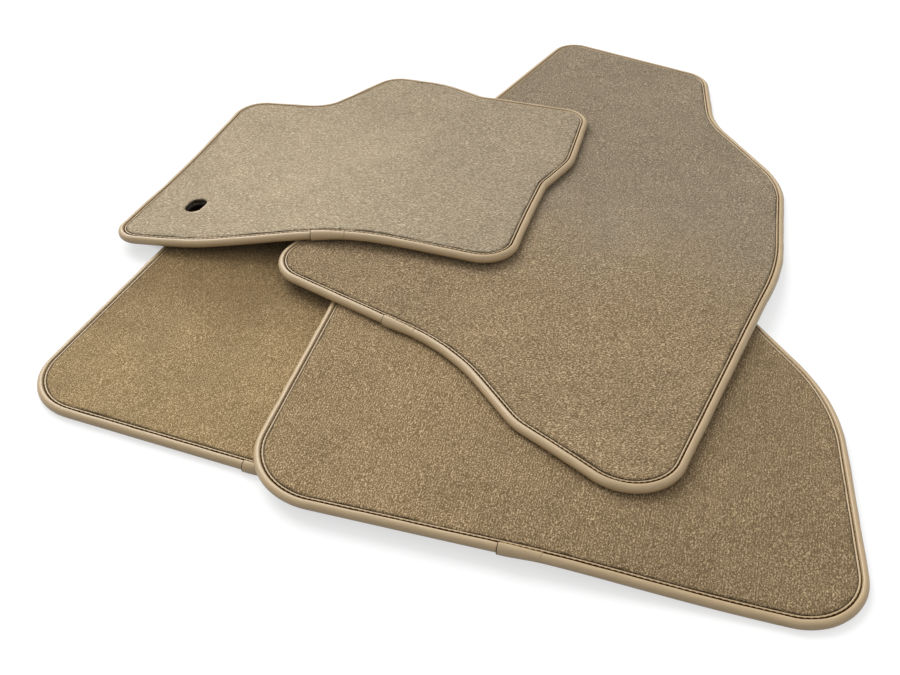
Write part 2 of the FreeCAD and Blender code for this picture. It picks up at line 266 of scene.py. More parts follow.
class Drape:
    """The height of a mat's underside: a heavy sheet that bends under its own weight until it
    lies on what is under it. Least of bending energy + weight on a square grid, kept above the
    obstacle at every node, found by accelerated descent with projection."""

    GRID = 10.0
    STIFFNESS = 4.0e6  # bending stiffness over weight per area, mm^3

    def __init__(self, facts, lower):
        self.edge, normals = outline(facts["arcs"], 4.0)
        wide = self.edge + normals * 1.3 * self.GRID
        self.low = np.floor(wide.min(0) / self.GRID) * self.GRID - 3 * self.GRID
        size = np.ceil((wide.max(0) - self.low) / self.GRID).astype(int) + 4
        xs = self.low[0] + self.GRID * np.arange(size[0])
        ys = self.low[1] + self.GRID * np.arange(size[1])
        nodes = np.stack(np.meshgrid(xs, ys, indexing="ij"), -1).reshape(-1, 2)
        self.mask = inside(nodes, wide).reshape(size)
        floor = np.zeros(len(nodes))
        for mat in lower:
            top = mat.at(nodes) + THICK + REST_GAP
            floor = np.where(inside(nodes, mat.edge), np.maximum(floor, top), floor)
        for x, y, reach, height in facts["curl"]:
            gone = ease(np.hypot(nodes[:, 0] - x, nodes[:, 1] - y) / reach)
            floor = np.maximum(floor, height * (1.0 - gone))
        self.height = self.settle(floor.reshape(size))

    def settle(self, obstacle):
        stiff = self.STIFFNESS / self.GRID**4
        m = self.mask
        mx = m[:-2] & m[1:-1] & m[2:]
        my = m[:, :-2] & m[:, 1:-1] & m[:, 2:]
        mt = m[:-1, :-1] & m[1:, :-1] & m[:-1, 1:] & m[1:, 1:]
        w = np.where(m, obstacle.max(), 0.0)
        last, pace = w.copy(), 1.0
        rate = 1.0 / (64.0 * stiff)
        for _ in range(6000 if obstacle.max() > 0 else 0):
            bend = np.zeros_like(w)
            cx = np.where(mx, last[:-2] - 2 * last[1:-1] + last[2:], 0.0)
            bend[:-2] += cx
            bend[1:-1] -= 2 * cx
            bend[2:] += cx
            cy = np.where(my, last[:, :-2] - 2 * last[:, 1:-1] + last[:, 2:], 0.0)
            bend[:, :-2] += cy
            bend[:, 1:-1] -= 2 * cy
            bend[:, 2:] += cy
            ct = last[:-1, :-1] - last[1:, :-1] - last[:-1, 1:] + last[1:, 1:]
            ct = np.where(mt, 2 * ct, 0.0)
            bend[:-1, :-1] += ct
            bend[1:, :-1] -= ct
            bend[:-1, 1:] -= ct
            bend[1:, 1:] += ct
            new = np.maximum(last - rate * (stiff * bend + 1.0), obstacle)
            new = np.where(m, new, 0.0)
            quicker = (1 + math.sqrt(1 + 4 * pace * pace)) / 2
            if ((last - new) * (new - w)).sum() > 0:
                quicker = 1.0
            last = new + (pace - 1) / quicker * (new - w)
            w, pace = new, quicker
        for _ in range(3):
            w = self.spread(w)
        return w

    def spread(self, w):
        """Carries heights one node outwards, so that points on the rim can be interpolated."""
        known = self.mask.astype(float)
        total, number = np.zeros_like(w), np.zeros_like(w)
        for dx, dy in ((1, 0), (-1, 0), (0, 1), (0, -1)):
            total += np.roll(w * known, (dx, dy), (0, 1))
            number += np.roll(known, (dx, dy), (0, 1))
        grown = (~self.mask) & (number > 0)
        self.mask = self.mask | grown
        return np.where(grown, total / np.maximum(number, 1), w)

    def at(self, points):
        """Heights at any points: a uniform cubic B-spline over the sixteen nodes round each."""
        share = (points - self.low) / self.GRID
        share = np.clip(share, 1.0, np.array(self.height.shape) - 2.001)
        cell = share.astype(int)
        f = share - cell
        weights = np.stack(
            [(1 - f) ** 3, 3 * f**3 - 6 * f**2 + 4, -3 * f**3 + 3 * f**2 + 3 * f + 1, f**3]
        )
        weights /= 6.0
        total = np.zeros(len(points))
        for a in range(4):
            for b in range(4):
                node = self.height[cell[:, 0] + a - 1, cell[:, 1] + b - 1]
                total += weights[a, :, 0] * weights[b, :, 1] * node
        return total


def strip(points, normals, section, ragged=None):
    """A section carried round a loop: point - normal * inset, at the section's height. Rows go
    round the loop and columns along the section, as an array (loop, section, 3)."""
    inset, height = section[None, :, 0], section[None, :, 1]
    if ragged is not None:
        inset = inset + ragged[..., 0]
        height = height + ragged[..., 1]
    xy = points[:, None, :] - normals[:, None, :] * inset[..., None]
    height = np.broadcast_to(height, xy.shape[:2])
    return np.concatenate([xy, height[..., None]], -1)


def band(rows, columns, close_columns, start=0):
    """Four-sided faces of a closed band of rows x columns points."""
    i = np.arange(rows)[:, None]
    j = np.arange(columns if close_columns else columns - 1)[None]
    after, up = (i + 1) % rows, (j + 1) % columns
    face = [i * columns + j, after * columns + j, after * columns + up, i * columns + up]
    face = [np.broadcast_to(f, (rows, j.shape[1])).ravel() for f in face]
    return np.stack(face, 1) + start


def fill(loops, guard, spacing):
    """Covers the space within the first loop, and outside the others, with near-equal
    triangles: a staggered lattice kept inside guard, joined to the loops' own points.
    Returns (lattice points, triangles over loops' points then lattice points)."""
    low, high = guard[0].min(0), guard[0].max(0)
    xs = np.arange(low[0], high[0], spacing)
    ys = np.arange(low[1], high[1], spacing * 0.866)
    lattice = np.stack(np.meshgrid(xs, ys, indexing="ij"), -1)
    lattice[:, 1::2, 0] += spacing / 2
    lattice = lattice.reshape(-1, 2)
    keep = inside(lattice, guard[0])
    for hole in guard[1:]:
        keep &= ~inside(lattice, hole)
    lattice = lattice[keep]
    every = np.concatenate([*loops, lattice])
    edges, start = [], 0
    for loop in loops:
        k = np.arange(len(loop))
        edges.append(np.stack([k, (k + 1) % len(loop)], 1) + start)
        start += len(loop)
    made = geometry.delaunay_2d_cdt(
        [Vector(p) for p in every.tolist()], np.concatenate(edges).tolist(), [], 1, 1e-6, False
    )
    if len(made[0]) != len(every):
        raise RuntimeError("two points of a mat's face lie on each other")
    triangles = np.array(made[2], int)
    middle = every[triangles].mean(1)
    kept = inside(middle, loops[0])
    for hole in loops[1:]:
        kept &= ~inside(middle, hole)
    a, b, c = (every[triangles[:, k]] for k in range(3))
    turn = (b[:, 0] - a[:, 0]) * (c[:, 1] - a[:, 1]) - (b[:, 1] - a[:, 1]) * (c[:, 0] - a[:, 0])
    triangles[turn < 0] = triangles[turn < 0][:, ::-1]
    return lattice, triangles[kept & (abs(turn) > 1e-4)]


def write_mesh(name, points, quads, triangles=None, uv=None, smooth=True, marks=None):
    """Puts arrays in millimetres into a mesh in metres. uv is given per point, in metres."""
    corners = quads.ravel()
    sizes = np.full(len(quads), 4)
    if triangles is not None:
        corners = np.concatenate([corners, triangles.ravel()])
        sizes = np.concatenate([sizes, np.full(len(triangles), 3)])
    starts = np.concatenate([[0], np.cumsum(sizes)[:-1]])
    mesh = bpy.data.meshes.new(name)
    mesh.vertices.add(len(points))
    mesh.vertices.foreach_set("co", (points * MM).astype(np.float32).ravel())
    mesh.loops.add(len(corners))
    mesh.loops.foreach_set("vertex_index", corners.astype(np.int32))
    mesh.polygons.add(len(sizes))
    mesh.polygons.foreach_set("loop_start", starts.astype(np.int32))
    mesh.polygons.foreach_set("loop_total", sizes.astype(np.int32))
    mesh.update(calc_edges=True)
    mesh.validate()
    mesh.polygons.foreach_set("use_smooth", np.full(len(sizes), smooth))
    if uv is not None:
        layer = mesh.uv_layers.new(name="along_the_tape")
        layer.data.foreach_set("uv", uv[corners].astype(np.float32).ravel())
    for mark, values in (marks or {}).items():
        layer = mesh.attributes.new(mark, "FLOAT", "POINT")
        layer.data.foreach_set("value", values.astype(np.float32))
    piece = bpy.data.objects.new(name, mesh)
    bpy.context.scene.collection.objects.link(piece)
    return piece


def ripple(points, waves, seed):
    """A sum of sines in many directions: waves are (wavelength, amplitude) in millimetres."""
    pick = np.random.default_rng(seed)
    total = np.zeros(points.shape[:-1])
    for length, size in waves:
        for _ in range(7):
            heading, phase = pick.uniform(0, 2 * math.pi, 2)
            rate = 2 * math.pi / (length * pick.uniform(0.75, 1.35))
            along = points[..., 0] * math.cos(heading) + points[..., 1] * math.sin(heading)
            total += size / 2.6 * np.sin(along * rate + phase)
    return total


def layer(name, mat, edge, wall, spacings, nap=0.0):
    """One layer of a mat as a closed sheet: an edge section carried round the outline, and a
    top and a bottom face filled in; the driver's mat has a wall round the fixing slot too.
    nap is how far the pile's face and edge stray from their section."""
    points, normals = outline(MATS[mat]["arcs"])
    ragged = None
    if nap:
        shape = (len(points), len(edge))
        loose = np.clip((edge[:, 1] - 7.4) / 1.5, 0.0, 1.0)[None, :, None]
        stray = RANDOM.normal(0.0, 1.0, shape + (2,))
        stray = (stray + np.roll(stray, 1, 0) + np.roll(stray, -1, 0)) / 1.73
        ragged = stray * loose * [0.28 * nap, 0.16 * nap]
        ragged[:, -1] = 0.0
    rims = [strip(points, normals, edge, ragged)]
    # painted shade: the pile's edge darkened where it rolls down beside the tape
    shaded = [np.broadcast_to(ease((10.0 - edge[:, 1]) / 1.1), rims[0].shape[:2]).ravel()]
    guards = [(points, normals, STRIP)]
    if wall is not None:
        hole, inwards = slot_outline()
        stray = RANDOM.normal(0.0, 1.0, (len(hole), len(wall), 2)) * [0.3, 0.16]
        stray *= (wall[:, 0] < 3.0)[None, :, None] * nap
        rims.append(strip(hole, -inwards, wall, stray))
        # painted shade down the slot's wall below its rim, and a painted highlight on the near rim's top
        # edge
        near = np.clip(-inwards @ [-0.5, 0.87], 0.0, 1.0)[:, None]
        lip = np.where((wall[:, 1] > 9.5) & (wall[:, 0] < 2.0), 1.0, 0.0)
        shaded.append((1.3 * ease((9.6 - wall[:, 1]) / 1.2) - 0.55 * near * lip).ravel())
        guards.append((hole, -inwards, SLOT_STRIP))
    stack = [rim.reshape(-1, 3) for rim in rims]
    starts = np.concatenate([[0], np.cumsum([len(s) for s in stack])])
    quads = [
        band(rim.shape[0], rim.shape[1], False, start) for rim, start in zip(rims, starts)
    ]
    triangles = []
    for face, spacing in zip(("bottom", "top"), spacings):
        ends = [(0 if face == "bottom" else -1), (-1 if face == "bottom" else 0)]
        loops = [rim[:, end, :2] for rim, end in zip(rims, ends)]
        numbers = [
            start + np.arange(rim.shape[0]) * rim.shape[1] + end % rim.shape[1]
            for rim, start, end in zip(rims, starts, ends)
        ]
        outer, hole_guard = guards[0], guards[1:]
        guard = [outer[0] - outer[1] * (outer[2] + 0.6 * spacing)]
        guard += [p + n * -(inset + 0.6 * spacing) for p, n, inset in hole_guard]
        lattice, faces = fill(loops, guard, spacing)
        height = rims[0][0, ends[0], 2]
        base = sum(len(s) for s in stack)
        stack.append(np.column_stack([lattice, np.full(len(lattice), height)]))
        shaded.append(np.zeros(len(lattice)))
        numbers = np.concatenate([*numbers, base + np.arange(len(lattice))])
        faces = numbers[faces]
        triangles.append(faces if face == "top" else faces[:, ::-1])
    points = np.concatenate(stack)
    top = points[:, 2] > 9.0
    if nap:
        points[:, 2] += np.where(top, nap * ripple(points, NAP_WAVES, MATS[mat]["ripple_seed"]), 0.0)
    points[:, 2] += DRAPES[mat].at(points[:, :2])
    marks = {"painted_edge_shade_and_highlight": np.concatenate(shaded)} if nap else {}
    return write_mesh(name, points, np.concatenate(quads), np.concatenate(triangles), marks=marks)


def binding(name, mat):
    """The tape's section carried round the outline as one closed ring. Its own map runs along
    the tape and across the section, in metres."""
    points, normals = outline(MATS[mat]["arcs"])
    along = np.concatenate([[0.0], np.cumsum(np.hypot(*np.diff(points, axis=0).T))])
    across = np.concatenate([[0.0], np.cumsum(np.hypot(*np.diff(TAPE, axis=0).T))])
    give = RANDOM.normal(0.0, 1.0, (len(points), 1))
    for _ in range(6):
        give = (give + np.roll(give, 1, 0) + np.roll(give, -1, 0)) / 2.4
    bulge = -np.clip(TAPE[:, 1] - 2.0, 0.0, 3.0)[None] / 3.0 * (TAPE[:, 0] < 6.0)[None]
    ragged = np.stack([bulge * give * 0.09, np.zeros_like(bulge * give)], -1)
    ring = strip(points, normals, TAPE, ragged)
    flat = ring.reshape(-1, 3)
    flat[:, 2] += DRAPES[mat].at(flat[:, :2])
    uv = np.stack(np.broadcast_arrays(along[:, None], across[None]), -1).reshape(-1, 2) * MM
    return write_mesh(name, flat, band(len(points), len(TAPE), True), uv=uv)


def path_round(mat, inset):
    """A mat's outline moved in: (distance round it, points with the first one repeated)."""
    points, normals = outline(MATS[mat]["arcs"])
    points = points - normals * inset
    points = np.concatenate([points, points[:1]])
    along = np.concatenate([[0.0], np.cumsum(np.hypot(*np.diff(points, axis=0).T))])
    return along, points


def stitches(name, mat):
    """Lockstitches along the seam: short six-sided threads, each one rising out of the tape at
    one end and going back in at the other, STITCH_PITCH apart round the whole outline."""
    along, points = path_round(mat, SEAM_INSET)
    count = int(along[-1] / STITCH_PITCH)
    share = np.array([-0.5, -0.42, -0.2, 0.0, 0.2, 0.42, 0.5])
    girth = np.array([0.25, 0.85, 1.0, 1.0, 1.0, 0.85, 0.25]) * THREAD_RADIUS
    lift = SEAM_HEIGHT + STITCH_RISE * (1.0 - (2 * share) ** 4)
    middle = (np.arange(count) + 0.5)[:, None] * along[-1] / count
    middle = middle + RANDOM.normal(0.0, 0.12, middle.shape)
    s = (middle + share[None] * STITCH_LENGTH) % along[-1]
    xy = np.stack([np.interp(s, along, points[:, k]) for k in range(2)], -1)
    run = xy[:, -1] - xy[:, 0]
    run /= np.hypot(*run.T)[:, None]
    side = np.stack([run[:, 1], -run[:, 0]], 1)
    turns = np.radians(np.arange(6) * 60.0)
    out = np.cos(turns)[None, None, :] * girth[None, :, None]
    up = np.sin(turns)[None, None, :] * girth[None, :, None]
    xy = xy[:, :, None, :] + side[:, None, None, :] * out[..., None]
    z = lift[None, :, None] + up + np.zeros_like(xy[..., 0])
    rings = np.concatenate([xy, z[..., None]], -1)
    rings[..., 2] += DRAPES[mat].at(rings[..., :2].reshape(-1, 2)).reshape(rings.shape[:-1])
    rows, sides = len(share), 6
    i = np.arange(rows - 1)[:, None]
    j = np.arange(sides)[None]
    after = (j + 1) % sides
    quad = np.stack(
        [i * sides + j, i * sides + after, (i + 1) * sides + after, (i + 1) * sides + j], -1
    ).reshape(-1, 4)
    caps = np.array([(0, 3, 2, 1), (0, 5, 4, 3)])
    last = (rows - 1) * sides
    caps = np.concatenate([caps, caps[:, ::-1] + last])
    one = np.concatenate([quad, caps])
    faces = (one[None] + (np.arange(count) * rows * sides)[:, None, None]).reshape(-1, 4)
    return write_mesh(name, rings.reshape(-1, 3), faces)


def tape_lap(name, mat):
    """Where the tape's end lies over its start: the outer part of the section again, as a thin
    shell that stands proud at its cut end and thins out along the seam."""
    along, points = path_round(mat, 0.0)
    place = np.array(MATS[mat]["lap"])
    middle = along[np.argmin(np.hypot(*(points[:-1] - place).T))]
    s = np.concatenate([[0.0, 0.3], np.arange(1.0, LAP_LENGTH, 1.5)])
    section = TAPE[LAP_PART]
    facing = np.gradient(section, axis=0)
    facing = np.stack([facing[:, 1], -facing[:, 0]], 1)
    facing /= np.hypot(*facing.T)[:, None]
    hold = ease((section[:, 1] - 0.3) / 1.5) * (1.0 - 0.8 * ease((section[:, 0] - 4.6) / 1.2))
    s_at = (middle + s) % along[-1]
    xy = np.stack([np.interp(s_at, along, points[:, k]) for k in range(2)], -1)
    run = np.gradient(xy, axis=0)
    run /= np.hypot(*run.T)[:, None]
    n = np.stack([run[:, 1], -run[:, 0]], 1)
    thin = 1.0 - ease((s - 4.0) / (LAP_LENGTH - 4.0))
    thin = np.where(s < 0.1, 0.85, thin)
    skins = []
    for proud in (0.06 + LAP_PROUD * thin, np.full(len(s), 0.02)):
        grown = section[None] + facing[None] * (-hold[None, :, None] * proud[:, None, None])
        flat = xy[:, None] - n[:, None] * grown[..., :1]
        skin = np.concatenate([flat, grown[..., 1:]], -1)
        skin[..., 2] += DRAPES[mat].at(skin[..., :2].reshape(-1, 2)).reshape(skin.shape[:2])
        skins.append(skin.reshape(-1, 3))
    rows, columns = len(s), len(section)
    i, j = np.arange(rows - 1)[:, None], np.arange(columns - 1)[None]
    corner = i * columns + j
    quad = np.stack([corner, corner + columns, corner + columns + 1, corner + 1], -1)
    quad = quad.reshape(-1, 4)
    size = rows * columns
    k, m = np.arange(rows - 1), np.arange(columns - 1)
    low, high = k * columns, k * columns + columns - 1
    cut, end = m, m + (rows - 1) * columns
    faces = [
        quad,
        quad[:, ::-1] + size,
        np.stack([low, low + size, low + size + columns, low + columns], 1),
        np.stack([high, high + columns, high + size + columns, high + size], 1),
        np.stack([cut, cut + 1, cut + size + 1, cut + size], 1),
        np.stack([end, end + size, end + size + 1, end + 1], 1),
    ]
    across = np.concatenate([[0.0], np.cumsum(np.hypot(*np.diff(section, axis=0).T))])
    uv = np.stack(np.broadcast_arrays(s[:, None] + LAP_MARK, across[None]), -1)
    uv = uv.reshape(-1, 2) * MM
    both = np.concatenate([uv, uv])
    return write_mesh(name, np.concatenate(skins), np.concatenate(faces), uv=both)


def linear(code):
    """A colour written as sRGB hex, turned to the linear values that shaders take."""
    parts = np.array([int(code[k : k + 2], 16) for k in (0, 2, 4)]) / 255.0
    parts = np.where(parts <= 0.04045, parts / 12.92, ((parts + 0.055) / 1.055) ** 2.4)
    return (*parts.tolist(), 1.0)


def add(tree, kind, inputs=None, **settings):
    """Adds a node. Settings are its own; an input takes a value or another node's output."""
    made = tree.nodes.new("ShaderNode" + kind)
    for name, value in settings.items():
        setattr(made, name, value)
    for name, value in (inputs or {}).items():
        if isinstance(value, bpy.types.NodeSocket):
            tree.links.new(value, made.inputs[name])
        else:
            made.inputs[name].default_value = value
    return made


def start_material(name):
    material = bpy.data.materials.new(name)
    material.use_nodes = True
    tree = material.node_tree
    tree.nodes.clear()
    return material, tree


def velour(name, root, tip, painted_shade_root, painted_shade_tip, painted_shade_patch, lie, stretch, rows, relief):
    """Cut velour of polyamide tufts, with painted light and shade: the colour runs from root to
    tip with the tufts' height, a painted shade in the clefts and painted light on the tips. Over
    a patch the colours turn darker, and on some mats greyer: a painted shade of how the light
    falls on the nap there. painted_shade_patch is ((x, y), heading, reach): where that change
    starts, which way it goes and over how far, in millimetres. The fibres lie at the angle lie,
    stretch times longer than they are wide, and rows is how strongly the lines of tufts show."""
    material, tree = start_material(name)
    place = add(tree, "TexCoord").outputs["Object"]
    (x, y), heading, reach = painted_shade_patch
    turned = add(
        tree,
        "Mapping",
        {"Vector": place, "Location": (x * MM, y * MM, 0.0), "Rotation": (0.0, 0.0, heading)},
        vector_type="TEXTURE",
    ).outputs[0]
    ahead = add(tree, "SeparateXYZ", {"Vector": turned}).outputs["X"]
    wander = add(
        tree, "TexNoise", {"Vector": place, "Scale": 9.0, "Detail": 3.0, "Roughness": 0.55}
    ).outputs["Fac"]
    bent = add(
        tree, "Math", {0: wander, 1: reach * MM, 2: ahead}, operation="MULTIPLY_ADD"
    ).outputs[0]
    # how far a point lies into the painted shade patch
    painted_shade_share = add(
        tree,
        "MapRange",
        {"Value": bent, "From Min": 0.0, "From Max": reach * MM},
        interpolation_type="SMOOTHSTEP",
    ).outputs["Result"]
    # fibre tips about 1 mm across, bent along the nap
    along = add(
        tree,
        "Mapping",
        {"Vector": place, "Rotation": (0.0, 0.0, lie), "Scale": (stretch, 1.0, 1.0)},
        vector_type="TEXTURE",
    ).outputs[0]
    fibre = add(
        tree,
        "TexNoise",
        {"Vector": along, "Scale": 930.0, "Detail": 1.0, "Roughness": 0.5, "Distortion": 0.3},
    ).outputs["Fac"]
    tuft = add(
        tree, "TexVoronoi", {"Vector": along, "Scale": 810.0, "Randomness": 0.9}, feature="F1"
    ).outputs["Distance"]
    clump = add(
        tree, "TexNoise", {"Vector": place, "Scale": 120.0, "Detail": 1.0, "Roughness": 0.5}
    ).outputs["Fac"]
    # the needles tuft the yarn in lines 2.4 mm apart, which the fibres mostly hide
    lines = add(
        tree,
        "TexWave",
        {"Vector": along, "Scale": 131.0, "Distortion": 5.0, "Detail": 1.0, "Detail Scale": 1.5},
        wave_type="BANDS",
        bands_direction="Y",
    ).outputs["Fac"]
    fibre = add(tree, "Math", {0: lines, 1: rows, 2: fibre}, operation="MULTIPLY_ADD").outputs[0]
    raised = add(tree, "Math", {0: tuft, 1: -0.3, 2: fibre}, operation="MULTIPLY_ADD").outputs[0]
    raised = add(tree, "Math", {0: clump, 1: 0.03, 2: raised}, operation="MULTIPLY_ADD").outputs[0]
    share = add(
        tree, "MapRange", {"Value": raised, "From Min": 0.22 + rows / 2, "From Max": 0.61 + rows / 2}
    ).outputs["Result"]
    share = add(tree, "Math", {0: share, 1: 1.7}, operation="POWER").outputs[0]
    # painted shade in the clefts and painted light on the tips: the colour follows the tufts' height
    warm = add(
        tree, "Mix", {0: share, 6: linear(root), 7: linear(tip)}, data_type="RGBA"
    ).outputs[2]
    # the painted shade over the patch: the same ramp in darker colours
    painted_shade_colour = add(
        tree, "Mix", {0: share, 6: linear(painted_shade_root), 7: linear(painted_shade_tip)}, data_type="RGBA"
    ).outputs[2]
    colour = add(tree, "Mix", {0: painted_shade_share, 6: warm, 7: painted_shade_colour}, data_type="RGBA").outputs[2]
    # treading and brushing leave patches a hand wide a little lighter or darker
    cloud = add(
        tree, "TexNoise", {"Vector": place, "Scale": 16.0, "Detail": 3.0, "Roughness": 0.5}
    ).outputs["Fac"]
    shade = add(
        tree,
        "MapRange",
        {"Value": cloud, "From Min": 0.3, "From Max": 0.7, "To Min": 0.93, "To Max": 1.06},
    ).outputs["Result"]
    # painted shade where the pile rolls down beside the tape and round the slot, and a painted highlight
    # on the slot's near rim
    edge = add(tree, "Attribute", attribute_name="painted_edge_shade_and_highlight").outputs["Fac"]
    shade = add(tree, "Math", {0: edge, 1: -0.72, 2: shade}, operation="MULTIPLY_ADD").outputs[0]
    colour = add(tree, "VectorMath", {0: colour, 3: shade}, operation="SCALE").outputs[0]
    bump = add(
        tree, "Bump", {"Height": raised, "Strength": relief, "Distance": 0.0011}
    ).outputs["Normal"]
    shader = add(
        tree,
        "BsdfPrincipled",
        {
            "Base Color": colour,
            "Roughness": 0.95,
            "IOR": 1.53,
            "Specular IOR Level": 0.12,
            "Sheen Weight": 0.12,
            "Sheen Roughness": 0.6,
            "Sheen Tint": linear("efe4cf"),
            "Normal": bump,
        },
    )
    add(tree, "OutputMaterial", {"Surface": shader.outputs[0]})
    return material


def leatherette():
    """Vinyl-coated tape, embossed with a fine leather grain and stretched round the edge: a
    satin skin with a soft highlight along the bead, and painted shade along the seam's groove, where the
    seam pulls in."""
    material, tree = start_material("binding_tape_embossed_vinyl")
    place = add(tree, "TexCoord").outputs["Object"]
    tape = add(tree, "UVMap", uv_map="along_the_tape").outputs["UV"]
    # grain of about 1 mm, drawn coarser than the real 0.5 mm so that it shows
    grain = add(
        tree, "TexVoronoi", {"Vector": place, "Scale": 900.0, "Randomness": 1.0}, feature="SMOOTH_F1"
    ).outputs["Distance"]
    pores = add(
        tree, "TexNoise", {"Vector": place, "Scale": 420.0, "Detail": 3.0, "Roughness": 0.6}
    ).outputs["Fac"]
    drawn = add(tree, "Mapping", {"Vector": tape, "Scale": (1.0, 9.0, 1.0)}).outputs[0]
    creases = add(
        tree, "TexNoise", {"Vector": drawn, "Scale": 60.0, "Detail": 2.0, "Roughness": 0.5}
    ).outputs["Fac"]
    tone = add(
        tree, "MapRange", {"Value": creases, "From Min": 0.35, "From Max": 0.65}
    ).outputs["Result"]
    colour = add(
        tree, "Mix", {0: tone, 6: linear("a9926f"), 7: linear("b19a77")}, data_type="RGBA"
    ).outputs[2]
    # painted shade along the seam's groove
    across = add(tree, "SeparateXYZ", {"Vector": tape}).outputs["Y"]
    off = add(tree, "Math", {0: across, 1: (SEAM_ACROSS + 0.35) * MM}, operation="SUBTRACT").outputs[0]
    off = add(tree, "Math", {0: off}, operation="ABSOLUTE").outputs[0]
    groove = add(
        tree,
        "MapRange",
        {"Value": off, "From Min": 0.0006, "From Max": 0.0011, "To Min": 1.0, "To Max": 0.0},
        interpolation_type="SMOOTHSTEP",
    ).outputs["Result"]
    # and a painted shadow in the crack where the tape's cut end lies on the turn below it
    run = add(tree, "SeparateXYZ", {"Vector": tape}).outputs["X"]
    crack_shadow = add(
        tree, "Math", {0: run, 1: LAP_MARK * MM, 2: 0.0007}, operation="COMPARE"
    ).outputs[0]
    dark = add(tree, "Math", {0: groove, 1: crack_shadow}, operation="MAXIMUM").outputs[0]
    colour = add(tree, "Mix", {0: dark, 6: colour, 7: linear("3a230b")}, data_type="RGBA").outputs[2]
    rough = add(
        tree,
        "MapRange",
        {"Value": pores, "From Min": 0.3, "From Max": 0.7, "To Min": 0.36, "To Max": 0.46},
    ).outputs["Result"]
    # the coated face shines, and the cut and folded cloth inside the seam hardly does
    gloss = add(
        tree, "MapRange", {"Value": dark, "To Min": 0.55, "To Max": 0.03}
    ).outputs["Result"]
    relief = add(tree, "Math", {0: pores, 1: 0.5, 2: grain}, operation="MULTIPLY_ADD").outputs[0]
    bump = add(tree, "Bump", {"Height": relief, "Strength": 0.25, "Distance": 0.00018}).outputs["Normal"]
    folds = add(
        tree, "Bump", {"Height": creases, "Strength": 0.2, "Distance": 0.0003, "Normal": bump}
    ).outputs["Normal"]
    shader = add(
        tree,
        "BsdfPrincipled",
        {
            "Base Color": colour,
            "Roughness": rough,
            "IOR": 1.52,
            "Specular IOR Level": gloss,
            "Normal": folds,
        },
    )
    add(tree, "OutputMaterial", {"Surface": shader.outputs[0]})
    return material


def twisted_thread():
    """Bonded polyester sewing thread, two plies twisted: a soft gloss broken by slanting plies."""
    material, tree = start_material("seam_thread_bonded_polyester")
    place = add(tree, "TexCoord").outputs["Object"]
    slant = add(tree, "Mapping", {"Vector": place, "Rotation": (0.3, 0.2, 0.78)}).outputs[0]
    plies = add(
        tree,
        "TexWave",
        {"Vector": slant, "Scale": 500.0, "Distortion": 0.6, "Detail": 1.0},
        wave_type="BANDS",
    ).outputs["Fac"]
    colour = add(
        tree, "Mix", {0: plies, 6: linear("40260a"), 7: linear("6b4a20")}, data_type="RGBA"
    ).outputs[2]
    bump = add(tree, "Bump", {"Height": plies, "Strength": 0.5, "Distance": 0.0001}).outputs["Normal"]
    shader = add(
        tree,
        "BsdfPrincipled",
        {
            "Base Color": colour,
            "Roughness": 0.7,
            "IOR": 1.53,
            "Specular IOR Level": 0.08,
            "Normal": bump,
        },
    )
    add(tree, "OutputMaterial", {"Surface": shader.outputs[0]})
    return material


def woven_backing():
    """Plain-woven polypropylene cloth that the pile is tufted into: over-and-under yarns 1.6 mm
    apart, dull and slightly hairy."""
    material, tree = start_material("base_cloth_plain_woven_polypropylene")
    place = add(tree, "TexCoord").outputs["Object"]
    weft = add(
        tree, "TexWave", {"Vector": place, "Scale": 98.0, "Distortion": 0.8, "Detail": 1.0},
        wave_type="BANDS", bands_direction="X",
    ).outputs["Fac"]
    warp = add(
        tree, "TexWave", {"Vector": place, "Scale": 98.0, "Distortion": 0.8, "Detail": 1.0},
        wave_type="BANDS", bands_direction="Y",
    ).outputs["Fac"]
    weave = add(tree, "Math", {0: weft, 1: warp}, operation="MAXIMUM").outputs[0]
    colour = add(
        tree, "Mix", {0: weave, 6: linear("4c4030"), 7: linear("8f7d62")}, data_type="RGBA"
    ).outputs[2]
    bump = add(tree, "Bump", {"Height": weave, "Strength": 0.6, "Distance": 0.0004}).outputs["Normal"]
    shader = add(
        tree,
        "BsdfPrincipled",
        {"Base Color": colour, "Roughness": 0.85, "IOR": 1.49, "Normal": bump},
    )
    add(tree, "OutputMaterial", {"Surface": shader.outputs[0]})
    return material


def nubbed_rubber():
    """Moulded anti-slip rubber: rows of small round nubs 5 mm apart, matt black with a dusty
    bloom."""
    material, tree = start_material("backing_moulded_anti_slip_rubber")
    place = add(tree, "TexCoord").outputs["Object"]
    nubs = add(
        tree, "TexVoronoi", {"Vector": place, "Scale": 200.0, "Randomness": 0.0}, feature="F1"
    ).outputs["Distance"]
    dome = add(
        tree,
        "MapRange",
        {"Value": nubs, "From Min": 0.12, "From Max": 0.42, "To Min": 1.0, "To Max": 0.0},
        interpolation_type="SMOOTHSTEP",
    ).outputs["Result"]
    bloom = add(tree, "TexNoise", {"Vector": place, "Scale": 40.0, "Detail": 5.0}).outputs["Fac"]
    colour = add(
        tree, "Mix", {0: bloom, 6: linear("191613"), 7: linear("35312c")}, data_type="RGBA"
    ).outputs[2]
    bump = add(tree, "Bump", {"Height": dome, "Strength": 0.9, "Distance": 0.0012}).outputs["Normal"]
    shader = add(
        tree,
        "BsdfPrincipled",
        {"Base Color": colour, "Roughness": 0.7, "IOR": 1.52, "Normal": bump},
    )
    add(tree, "OutputMaterial", {"Surface": shader.outputs[0]})
    return material


# how far across the tape's map the seam's groove lies
TAPE_ACROSS = np.concatenate([[0.0], np.cumsum(np.hypot(*np.diff(TAPE, axis=0).T))])
SEAM_ACROSS = float(TAPE_ACROSS[np.argmin(np.hypot(*(TAPE - SEAM_PLACE).T))])

DRAPES = {}
for mat, facts in MATS.items():
    DRAPES[mat] = Drape(facts, [DRAPES[lower] for lower in facts["under"]])
